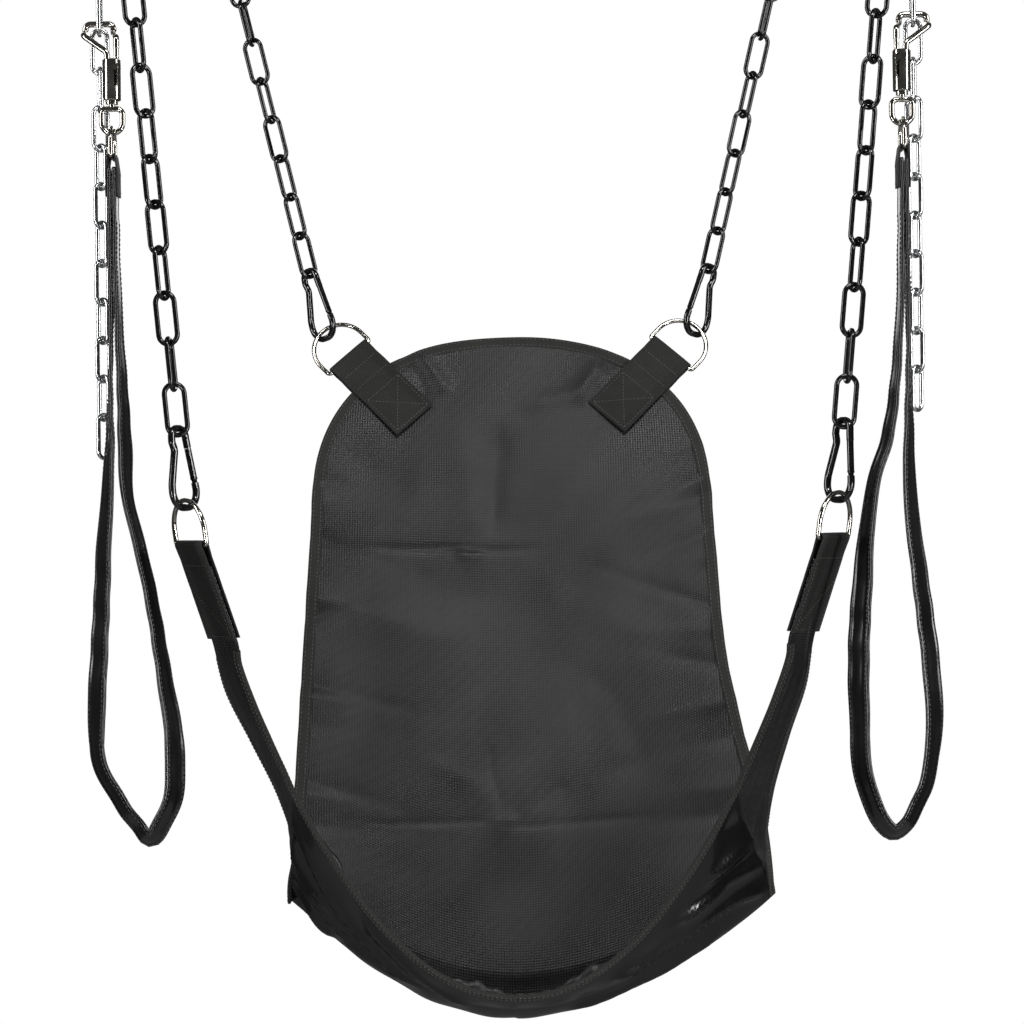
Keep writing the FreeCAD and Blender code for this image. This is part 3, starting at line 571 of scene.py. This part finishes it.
def panel_relief(grid):
    """How far each point of the back panel stands off its plane, in millimetres."""
    x, below = grid[..., 0], RING_LEVEL - grid[..., 2]
    relief = np.zeros(x.shape)
    for height, width, line in PANEL_CREASES:
        distance, place = to_line(x, below, line)
        relief += height * bell(distance, width) * smooth(np.minimum(place, 1 - place) * 3.5)
    half = half_width(grid[..., 2])
    for side, at, reach, slope, height in PUCKERS:
        inwards = half - x * side
        drift = below - at - slope * inwards
        relief += height * np.exp(-inwards / reach) * bell(drift, 7.0) * (inwards < 150)
    relief += 0.5 * np.sin(x / 37 + 1.3) * np.sin(below / 51) + 0.3 * np.sin(x / 17 + below / 23)
    fade = smooth((575 - below) / 60)
    return PANEL_RELIEF * relief * fade


def front_relief(along, share, side):
    """How far each point of the front stands out from its plain curve, in millimetres."""
    relief = np.zeros(along.shape)
    for height, width, line in FRONT_FOLDS[side]:
        scaled = [(a * ALONG_LENGTH, s * ACROSS_LENGTH) for a, s in line]
        distance, place = to_line(along * ALONG_LENGTH, share * ACROSS_LENGTH, scaled)
        relief += height * bell(distance, FOLD_TIGHTNESS * width) * smooth(
            np.minimum(place, 1 - place) * 6 + 0.1)
    relief += 0.4 * np.sin(along * 23 + side) * np.sin(share * 9)
    edge = smooth(np.minimum(share, 1 - share) * 9 + 0.15)
    calm = 1 - ARM_CALM[side] * smooth((along - 0.86) * 6)
    return FRONT_RELIEF * relief * edge * calm * smooth((1.98 - along) * 5)


def grid_normals(grid):
    """Unit normals of a grid of points."""
    down = np.gradient(grid, axis=0)
    right = np.gradient(grid, axis=1)
    return unit(np.cross(down, right) + 1e-9)


def sling_surface():
    """Points, faces, UVs, named boundary runs and grid numbers of the sling's middle surface."""
    body = back_and_lip()
    normals = grid_normals(body)
    relief = panel_relief(body)
    relief[BACK_ROWS:] = 0
    across = np.linspace(-1, 1, COLUMNS)[None, :]
    lip_share = np.linspace(0, 1, LIP_ROWS)[:, None] * np.ones((1, COLUMNS))
    along = np.abs(across) * np.ones((LIP_ROWS, 1))
    lip = np.where(across < 0, front_relief(along, lip_share, -1),
                   front_relief(along, lip_share, 1))
    sag = 5.0 * np.sin(math.pi * lip_share) * (1 - np.abs(across) ** 4)
    relief[BACK_ROWS - 1:] -= lip + sag
    billow = smooth((RING_LEVEL - body[..., 2] - 60) / 240) * (1 - np.abs(across) ** 2)
    relief[:BACK_ROWS] -= (5.0 * billow)[:BACK_ROWS] * smooth(
        (np.arange(BACK_ROWS)[::-1] / 40.0))[:, None]
    facing = np.sign((normals * PANEL_NORMAL).sum(-1)[:5].mean())
    normals = normals * facing
    body = body + normals * relief[..., None]
    points = [body.reshape(-1, 3)]
    index = np.arange(body.size // 3).reshape(body.shape[:2])
    index[:CAP_ROWS, 0] = index[CAP_ROWS, 0]
    index[:CAP_ROWS, -1] = index[CAP_ROWS, -1]
    faces = grid_faces(index)
    width = LOW_HALF * np.linspace(-1, 1, COLUMNS)
    depth = arc_lengths(body[:, COLUMNS // 2])
    uv = [np.stack([body[..., 0] * 0.9 + width[None, :] * 0.1,
                    np.repeat(depth[:, None], COLUMNS, 1)], -1).reshape(-1, 2)]
    runs = {"left": body[CAP_ROWS:BACK_ROWS, 0], "right": body[CAP_ROWS:BACK_ROWS, -1],
            "top": body[0], "front": body[-1]}
    start = body.size // 3
    arm_index = {}
    for name, side in SIDES:
        sheet = arm(side)
        share = np.linspace(0, 1, LIP_ROWS)[:, None] * np.ones((1, ARM_STEPS))
        along = 1 + np.linspace(0, 1, ARM_STEPS)[None, :] * np.ones((LIP_ROWS, 1))
        lift = grid_normals(sheet)
        outwards = np.array([0.3 * side, -1, 0.1])
        lift = lift * np.sign((lift * outwards).sum(-1).mean())
        sag = 4.0 * np.sin(math.pi * share) * smooth((along - 1) * 3) * smooth((1.95 - along) * 3)
        sheet = sheet + lift * (front_relief(along, share, side) + sag)[..., None]
        joined = smooth((along - 1) * 6)[..., None]
        column = 0 if side < 0 else -1
        gap = body[BACK_ROWS - 1:, column] - sheet[:, 0]
        sheet = sheet + gap[:, None] * (1 - joined)
        points.append(sheet[:, 1:].reshape(-1, 3))
        own = start + np.arange(LIP_ROWS * (ARM_STEPS - 1)).reshape(LIP_ROWS, ARM_STEPS - 1)
        start += own.size
        both = np.hstack([index[BACK_ROWS - 1:, column][:, None], own])
        arm_index[side] = both
        faces += grid_faces(both[::-1] if side > 0 else both)
        run = arc_lengths(sheet[LIP_ROWS // 2])
        uv.append(np.stack([side * (LOW_HALF + run[None, 1:] * np.ones((LIP_ROWS, 1))),
                            depth[BACK_ROWS - 1] + share[:, 1:] * 100], -1).reshape(-1, 2))
        runs[name + "_arm_outer"] = sheet[0]
        runs[name + "_arm_inner"] = sheet[-1]
    return np.vstack(points), faces, np.vstack(uv), runs, index, arm_index


def vertex_normals(points, faces):
    """Area-weighted normals at each point, facing the sitter."""
    quads = np.array([f if len(f) == 4 else f + [f[-1]] for f in faces])
    p = points[quads]
    n = np.cross(p[:, 2] - p[:, 0], p[:, 3] - p[:, 1])
    total = np.zeros_like(points)
    for k in range(4):
        np.add.at(total, quads[:, k], n)
    return unit(total)


def ply(name, points, normals, faces, low, high, material, uv):
    """Thin closed sheet between two offsets of the middle surface."""
    used = sorted({v for f in faces for v in f})
    number = {v: n for n, v in enumerate(used)}
    count = len(used)
    top = points[used] + normals[used] * high
    bottom = points[used] + normals[used] * low
    quads = [[number[v] for v in f] for f in faces]
    edges = {}
    for f in quads:
        for a, b in zip(f, f[1:] + f[:1]):
            edges[(a, b)] = edges.get((a, b), 0) + 1
    rim = [(a, b) for a, b in edges if (b, a) not in edges]
    walls = [[b, a, a + count, b + count] for a, b in rim]
    under = [[v + count for v in f[::-1]] for f in quads]
    return mesh_object(name, np.vstack([top, bottom]), quads + under + walls, material,
                       np.vstack([uv[used], uv[used]]))


points, faces, uv, runs, body_index, arm_index = sling_surface()
normals = vertex_normals(points, faces)
upper = body_index[CAP_ROWS:BACK_ROWS - 60]
if (normals[upper].reshape(-1, 3) @ PANEL_NORMAL).mean() < 0:
    faces = [f[::-1] for f in faces]
    normals = -normals
HALF_GAP = 0.05             # each ply stands this far off the middle surface
inner_ply = ply("woven_inner_sheet", points, normals, faces, HALF_GAP, PLY, NYLON, uv)
outer_ply = ply("glossy_outer_sheet", points, normals, faces, -PLY, -HALF_GAP, LEATHER, uv)
for cloth, node, slot in ((inner_ply, "woven_inner_ply", "woven_nylon"),
                          (outer_ply, "glossy_outer_ply", "coated_cloth")):
    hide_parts(node)
    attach(cloth, "sling")


# ---- tapes along the edges ------------------------------------------------------------------
def edge_frames(edge, inwards_hint):
    """Unit directions at each point of an edge: along it, into the cloth, and off its face."""
    along = unit(np.gradient(edge, axis=0))
    inwards = inwards_hint - along * (inwards_hint * along).sum(-1, keepdims=True)
    inwards = unit(inwards)
    return along, inwards, unit(np.cross(inwards, along))


def tape(name, edge, inwards_hint, width, thick, body, node, rows, overhang=0.6):
    """Folded tape sewn over an edge, with its rows of stitches on both faces."""
    _, inwards, off = edge_frames(edge, inwards_hint)
    centres = edge + inwards * (width / 2 - overhang)
    strip = swept(name, centres, inwards, off, rounded_band(width, thick), TAPE)
    if node:
        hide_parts(node)
    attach(strip, body)
    for n, row in enumerate(rows):
        for face in (1, -1):
            path = edge + inwards * (row - overhang) + off * face * (thick / 2 + 0.12)
            thread = stitches("%s_thread_%d_%s" % (name, n, "in" if face > 0 else "out"),
                              path, off * face, THREAD)
            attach(thread, body)
    return strip


def panel_outline():
    """Edge of the back panel from its left corner, over the top, to its right corner."""
    left = points[body_index[CAP_ROWS:BACK_ROWS, 0]]
    top = points[body_index[0, 1:-1]]
    right = points[body_index[CAP_ROWS:BACK_ROWS, -1]]
    edge = np.vstack([left[::-1], top, right])
    return resample(edge, 520)


outline = panel_outline()
centre_of_panel = on_panel(0.0, SHOULDER - 100)
hint = unit(centre_of_panel - outline)
sides = np.array([[-np.sign(x), 0, 0] for x in outline[:, 0]])
down_share = smooth((SHOULDER + 40 - outline[:, 2]) / 90)[:, None]
tape("panel_binding_tape", outline, hint * (1 - down_share) + sides * down_share,
     TAPE_WIDTH, 3.6, "sling", "edge_binding", (2.6, 9.4))

# a short row of stitches crosses the panel from this place out to its right-hand edge
SEAM_BELOW = 400.0          # below ring level
SEAM_START = 140.0
level = CAP_ROWS + int(np.argmin(np.abs(
    points[body_index[CAP_ROWS:BACK_ROWS - 60, COLUMNS // 2], 2] - (RING_LEVEL - SEAM_BELOW))))
seam = body_index[level][points[body_index[level], 0] > SEAM_START][:-4]
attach(stitches("panel_seam_thread", points[seam] + normals[seam] * (PLY + 0.1), normals[seam],
                 THREAD, 7.0, 4.0, 0.5), "sling")

front_edge = np.vstack([points[arm_index[-1][-1]][::-1], points[body_index[-1, 1:-1]],
                        points[arm_index[1][-1]]])
front_inner = np.vstack([points[arm_index[-1][-4]][::-1], points[body_index[-4, 1:-1]],
                         points[arm_index[1][-4]]])
END_SKIP = 26               # grid steps at each arm's top where the tapes stop under the tab
front_edge = front_edge[END_SKIP:-END_SKIP]
front_inner = front_inner[END_SKIP:-END_SKIP]
tape("front_edge_tape", front_edge, unit(front_inner - front_edge), 7.5, 3.8, "sling",
     "front_piping", (2.2, 5.6), 1.6)
for name, side in SIDES:
    rail = points[arm_index[side][0]][:-END_SKIP]
    inner_rail = points[arm_index[side][4]][:-END_SKIP]
    if side < 0:
        rail, inner_rail = rail[::-1], inner_rail[::-1]
    tape(name + "_hem_tape", rail, unit(inner_rail - rail), HEM_WIDTH, 3.2, "sling",
         name + "_side_hem", (2.4, 6.8), 1.0)


# ---- lining that stands above the front edge ------------------------------------------------
LINING_SECTION = [(0.5, 0.0), (0.46, 0.4), (0, 0.45), (-0.5, 0.4),
                  (-0.5, -0.4), (0, -0.45), (0.46, -0.4)]


def lining(name, start, end, height):
    """Sliver of the glossy lining that curls up behind the front edge, between two shares."""
    share = np.linspace(start, end, 60)
    columns = (share + 1) / 2 * (COLUMNS - 1)
    row = points[body_index[-1]]
    edge = np.stack([np.interp(columns, np.arange(COLUMNS), row[:, k]) for k in range(3)], 1)
    rise = height * (np.sin(np.linspace(0, math.pi, 60)) ** 0.6
                     * (1 + 0.25 * np.sin(share * 61)) + 0.08)
    up = unit([0.0, 0.45, 0.9])
    lift = np.repeat(up[None], 60, 0)
    along = unit(np.gradient(edge, axis=0))
    off = unit(np.cross(lift, along))
    centres = edge + up * (rise / 2)[:, None] + off * (0.5 * np.sin(share * 80))[:, None]
    sliver = swept(name, centres, lift, off, LINING_SECTION, LINING, rise)
    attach(sliver, "sling")


for number, span in enumerate([(-0.30, -0.05, 8.0), (0.2, 0.42, 8.5), (-0.88, -0.78, 7.0),
                               (-0.06, 0.2, 3.0)]):
    lining("front_lining_%d" % number, *span)


# ---- webbing tabs ---------------------------------------------------------------------------
def tab_piece(name, node, centre, bar, down, length, width, gap, wire, thick, body):
    """Webbing folded round a ring bar: one band that runs up one face and down the other."""
    normal = unit(np.cross(bar, down))
    leg = gap / 2 + thick / 2
    loop_r = wire + 0.3 + thick / 2
    profile = [(leg, length)]
    profile += [(leg, d) for d in np.linspace(length, 12, 26)[1:]]
    profile += [(leg + (loop_r - leg) * t, 12 - 12 * t) for t in (0.33, 0.66)]
    profile += [(loop_r * math.cos(a), -loop_r * math.sin(a)) for a in np.linspace(0, math.pi, 12)]
    profile += [(-leg - (loop_r - leg) * t, 12 - 12 * t) for t in (0.66, 0.33)]
    profile += [(-leg, d) for d in np.linspace(12, length, 26)]
    route = np.array([centre + normal * f + down * d for f, d in profile])
    route = resample(route, 120)
    run = unit(np.gradient(route, axis=0))
    wide = np.repeat(bar[None], len(route), 0)
    off = unit(np.cross(wide, run))
    reach = (route - centre) @ down
    pinch = 1 - 0.018 * bell(reach - 14, 5.0) - 0.012 * bell(reach - length + 46, 6.0)
    band = swept(name, route, wide, off, rounded_band(width, thick, thick * 0.8), WEBBING, pinch)
    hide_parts(node)
    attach(band, body)
    return normal


def tab_stitching(name, centre, bar, down, normal, lines, offset, body):
    """Rows of stitches on both faces of a tab; lines are in (across, along) places."""
    for n, line in enumerate(lines):
        for face in (1, -1):
            path = np.array([centre + bar * a + down * d + normal * face * offset for a, d in line])
            path = resample(path, 40)
            thread = stitches("%s_seam_%d_%s" % (name, n, "in" if face > 0 else "out"), path,
                              np.repeat((normal * face)[None], 40, 0), THREAD, 3.4, 2.4, 0.42)
            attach(thread, body)


REAR_X = 187.0 - 26.5
for name, side in SIDES:
    down = unit([-0.707 * side, -0.276, -0.707])
    down = unit(down - PANEL_NORMAL * (down @ PANEL_NORMAL))
    bar = unit(np.cross(PANEL_NORMAL, down))
    place = on_panel(REAR_X * side, PLANE_Z)
    normal = tab_piece("rear_%s_webbing" % name, "rear_%s_tab" % name, place, bar, down, 96.0,
                       WEB_WIDTH, 5.6, RING_WIRE_R, 1.8, "sling")
    edge, low, high = WEB_WIDTH / 2 - 3.5, 93.0, 49.0
    lines = [[(-edge, low), (edge, low)], [(-edge, high), (edge, high)],
             [(-edge, high), (-edge, low)], [(edge, high), (edge, low)],
             [(-edge, high), (edge, low)], [(edge, high), (-edge, low)],
             [(-edge, 33), (edge, 33)], [(-edge, 16), (edge, 16)]]
    tab_stitching("rear_" + name, place, bar, down, normal, lines, 2.8 + 1.8 + 0.1, "sling")
    place, bar, _, down = ring_frame(side)
    normal = tab_piece("front_%s_webbing" % name, "front_%s_tab" % name, place, bar, down, 88.0,
                       WEB_WIDTH, 3.8, RING_WIRE_R, 1.8, "sling")
    lines = [[(-edge, 85), (edge, 85)], [(-edge, 18), (edge, 18)], [(-edge, 22), (-edge, 85)],
             [(edge, 22), (edge, 85)], [(-edge, 40), (edge, 82)]]
    tab_stitching("front_" + name, place, bar, down, normal, lines, 1.9 + 1.8 + 0.1, "sling")


# ---- hanging leg loops ----------------------------------------------------------------------
LOOP_X = 342.0
LOOP_Y = -212.0
STRAP_WIDTH = 25.0
STRAP_THICK = 3.4

# (distance outwards from the loop's axis, distance below the tab, turn of the strap in degrees);
# round the bottom the strap is turned further, by LOOP_LOW_TURN
LOOP_STATIONS = {
    "left": [(2.3, 0, 0), (2.3, 60, 0), (3.0, 130, 4), (4.8, 200, 12), (6, 250, 24),
             (11.5, 324, 36), (14.5, 380, 40), (19, 453, 44), (20.5, 486, 40), (18.5, 511, 30),
             (10.5, 532, 18), (-2.5, 553, 8), (-16, 572, 2), (-25, 581, 0), (-35, 570, 2),
             (-45.5, 545, 14), (-48, 520, 26), (-46, 486, 30), (-38, 432, 22), (-30, 380, 18),
             (-19.5, 328, 16), (-9.5, 288, 14), (-7.8, 250, 20), (-6.5, 205, 14),
             (-3.5, 130, 4), (-2.3, 60, 0), (-2.3, 0, 0)],
    "right": [(2.3, 0, 0), (2.3, 60, 0), (3, 130, 4), (3, 200, 16), (2.5, 260, 28), (3.5, 300, 34),
              (8.5, 344, 38), (14, 390, 42), (19.5, 440, 44), (21.5, 486, 42), (18, 525, 34),
              (8, 556, 20), (-4.5, 577, 6), (-15, 584, 0), (-25.5, 573, 4), (-35.5, 552, 14),
              (-42, 520, 28), (-43.5, 475, 38), (-43, 420, 40), (-39.5, 370, 36), (-35, 322, 24),
              (-28.5, 280, 18), (-16, 240, 16), (-9, 195, 10), (-4, 130, 4), (-2.3, 60, 0),
              (-2.3, 0, 0)]}
LOOP_BAR_DROP = 26.0        # ring's bow to its bar
LOOP_WIRE_R = 2.0
LOOP_LOW_TURN = 36.0        # least turn of the strap round the bottom of the loop


def strap_section():
    """Strap of two cloths with raised sewn edges."""
    half, thin, thick = STRAP_WIDTH / 2, 2.2, STRAP_THICK
    upper = [(half, 0.0), (half - 0.5, 1.1), (half - 2.4, thick / 2), (half - 4.2, thick / 2),
             (half - 5.0, thin / 2), (half - 8.0, thick / 2 - 0.1), (0, thick / 2 + 0.3)]
    upper += [(-a, b) for a, b in reversed(upper[:-1])]
    return upper + [(-a, -b) for a, b in upper[1:-1]]


def leg_loop(name, side):
    """Strap, its edge stitching and its webbing tab."""
    bow_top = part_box(name + "_loop_ring")[1].z / MM
    bar_centre = np.array([LOOP_X * side, LOOP_Y, bow_top - LOOP_WIRE_R - LOOP_BAR_DROP])
    top = bar_centre[2] - 9.0
    stations = np.array([(out, -drop, turn) for out, drop, turn in LOOP_STATIONS[name]], float)
    flow = spline(stations * [1, 1, 0.6], 360) / [1, 1, 0.6]
    centres = np.stack([(LOOP_X + flow[:, 0]) * side, np.full(360, LOOP_Y), top + flow[:, 1]], 1)
    run = unit(np.gradient(centres, axis=0))
    low_turn = LOOP_LOW_TURN * smooth((-flow[:, 1] - 430) / 80)
    turn = np.radians(np.maximum(flow[:, 2], low_turn) * side)[:, None]
    flat = np.array([[0.0, 1.0, 0.0]])
    wide = flat * np.cos(turn) + np.cross(run, flat) * np.sin(turn)
    thick = unit(np.cross(run, wide))
    along = arc_lengths(centres)
    bend = bell((flow[:, 1] + 555), 60.0)
    ripple = (0.5 + 0.6 * bend) * np.sin(along / 7.5 + 2 * np.sin(along / 31)) * smooth(along / 60)
    ripple *= smooth((along[-1] - along) / 60)
    centres = centres + thick * (ripple * 0.55)[:, None]
    strap = swept(name + "_strap", centres, wide, thick, strap_section(), STRAP)
    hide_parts(name + "_loop_strap")
    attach(strap, name + "_loop")
    pieces = []
    for edge in (-1, 1):
        for face in (-1, 1):
            path = centres + wide * edge * (STRAP_WIDTH / 2 - 3.3) + thick * face * 1.82
            thread = stitches("%s_strap_thread_%s_%s" % (name, "a" if edge < 0 else "b",
                                                         "in" if face < 0 else "out"),
                              path[14:-14], (thick * face)[14:-14], THREAD, 4.2, 3.0, 0.42)
            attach(thread, name + "_loop")
            pieces.append(thread)
    bar = np.array([0.0, 1.0, 0.0])
    normal = tab_piece(name + "_loop_webbing", name + "_loop_tab", bar_centre, bar, -UP, 34.0, 24.0,
                       2 * STRAP_THICK + 1.2, LOOP_WIRE_R, 1.5, name + "_loop")
    lines = [[(-9, 31), (9, 31)], [(-9, 14), (9, 14)], [(-9, 14), (9, 31)], [(9, 14), (-9, 31)]]
    tab_stitching(name + "_loop", bar_centre, bar, -UP, normal, lines, STRAP_THICK + 0.6 + 1.6,
                  name + "_loop")
    return strap, along[-1], pieces


straps = {name: leg_loop(name, side) for name, side in SIDES}


# ---- metal ----------------------------------------------------------------------------------
def metal_of(name):
    """Finish of one metal node."""
    if "ceiling_hook" in name:
        return HOOK
    if "spring" in name:
        return SPRING
    if name.endswith("_ring") or "snap" in name or "swivel" in name:
        return NICKEL
    if "bright" in name or "tail" in name:
        return ZINC
    if "carabiner" in name or "gate" in name:
        return CARABINER
    return PAINT


for name, obj in nodes.items():
    if not obj.hide_render:
        obj.data.materials.clear()
        obj.data.materials.append(metal_of(name))


# ---- floor, light and camera ----------------------------------------------------------------
def floor():
    """Mid-grey round floor below the sling."""
    material, tree, shader = new_material("grey_floor", (0.3, 0.3, 0.3), 0.6)
    vary(tree, shader, mapped(tree, (1, 1, 1)), 0.55, 0.7, scale=6.0)
    rings, spokes = 12, 64
    disc = [(r * 110 * math.cos(a), r * 110 * math.sin(a), -1650.0)
            for r in range(1, rings + 1)
            for a in np.linspace(0, 2 * math.pi, spokes, endpoint=False)]
    index = np.arange(rings * spokes).reshape(rings, spokes)
    quads = grid_faces(index, closed=True) + [[int(v) for v in index[0][::-1]]]
    mesh_object("floor", disc, quads, material)


def soft_light(name, place, target, size, power):
    """Large square lamp facing a target, in metres."""
    lamp = bpy.data.lights.new(name, "AREA")
    lamp.shape = "RECTANGLE"
    lamp.size, lamp.size_y = size
    lamp.energy = power
    obj = bpy.data.objects.new(name, lamp)
    obj.location = place
    obj.rotation_euler = (Vector(target) - Vector(place)).to_track_quat("-Z", "Y").to_euler()
    bpy.context.scene.collection.objects.link(obj)


def studio():
    """White surround and soft boxes."""
    scene = bpy.context.scene
    scene.view_settings.view_transform = "Standard"
    world = bpy.data.worlds.new("studio_white")
    scene.world = world
    world.use_nodes = True
    tree = world.node_tree
    back = tree.nodes["Background"]
    back.inputs["Color"].default_value = (1, 1, 1, 1)
    back.inputs["Strength"].default_value = 1.0
    dim = add(tree, "ShaderNodeBackground", Color=(1, 1, 1, 1), Strength=0.06)
    path = add(tree, "ShaderNodeLightPath")
    mix = add(tree, "ShaderNodeMixShader", [(0, path.outputs["Is Camera Ray"]),
                                            (1, dim.outputs[0]), (2, back.outputs[0])])
    tree.links.new(mix.outputs[0], tree.nodes["World Output"].inputs["Surface"])
    target = (0, 0, -0.65)
    soft_light("key_left", (-2.0, -0.9, 0.1), target, (0.35, 1.6), 26)
    soft_light("key_right", (2.0, -1.0, 0.0), target, (0.35, 1.6), 30)
    soft_light("front_top", (0.25, -1.5, 1.2), target, (0.9, 0.3), 24)
    soft_light("front_low", (0.5, -1.5, -1.5), (0, 0, -0.95), (0.9, 0.15), 2.5)
    soft_light("low_left", (-1.3, -1.9, -1.2), (0, 0, -0.95), (0.14, 0.9), 14)
    soft_light("low_right", (1.4, -1.8, -1.1), (0, 0, -0.95), (0.14, 0.9), 20)
    soft_light("behind", (0, 2.0, 0.3), target, (2.0, 1.2), 14)


def camera():
    """Level view from the open front, from about 2.8 m away."""
    data = bpy.data.cameras.new("camera")
    data.lens = 105.47
    data.sensor_width = 36.0
    obj = bpy.data.objects.new("camera", data)
    obj.location = (0, -2.81, -0.631)
    obj.rotation_euler = (math.pi / 2, math.radians(0.7), 0)
    bpy.context.scene.collection.objects.link(obj)
    bpy.context.scene.camera = obj


floor()
studio()
camera()
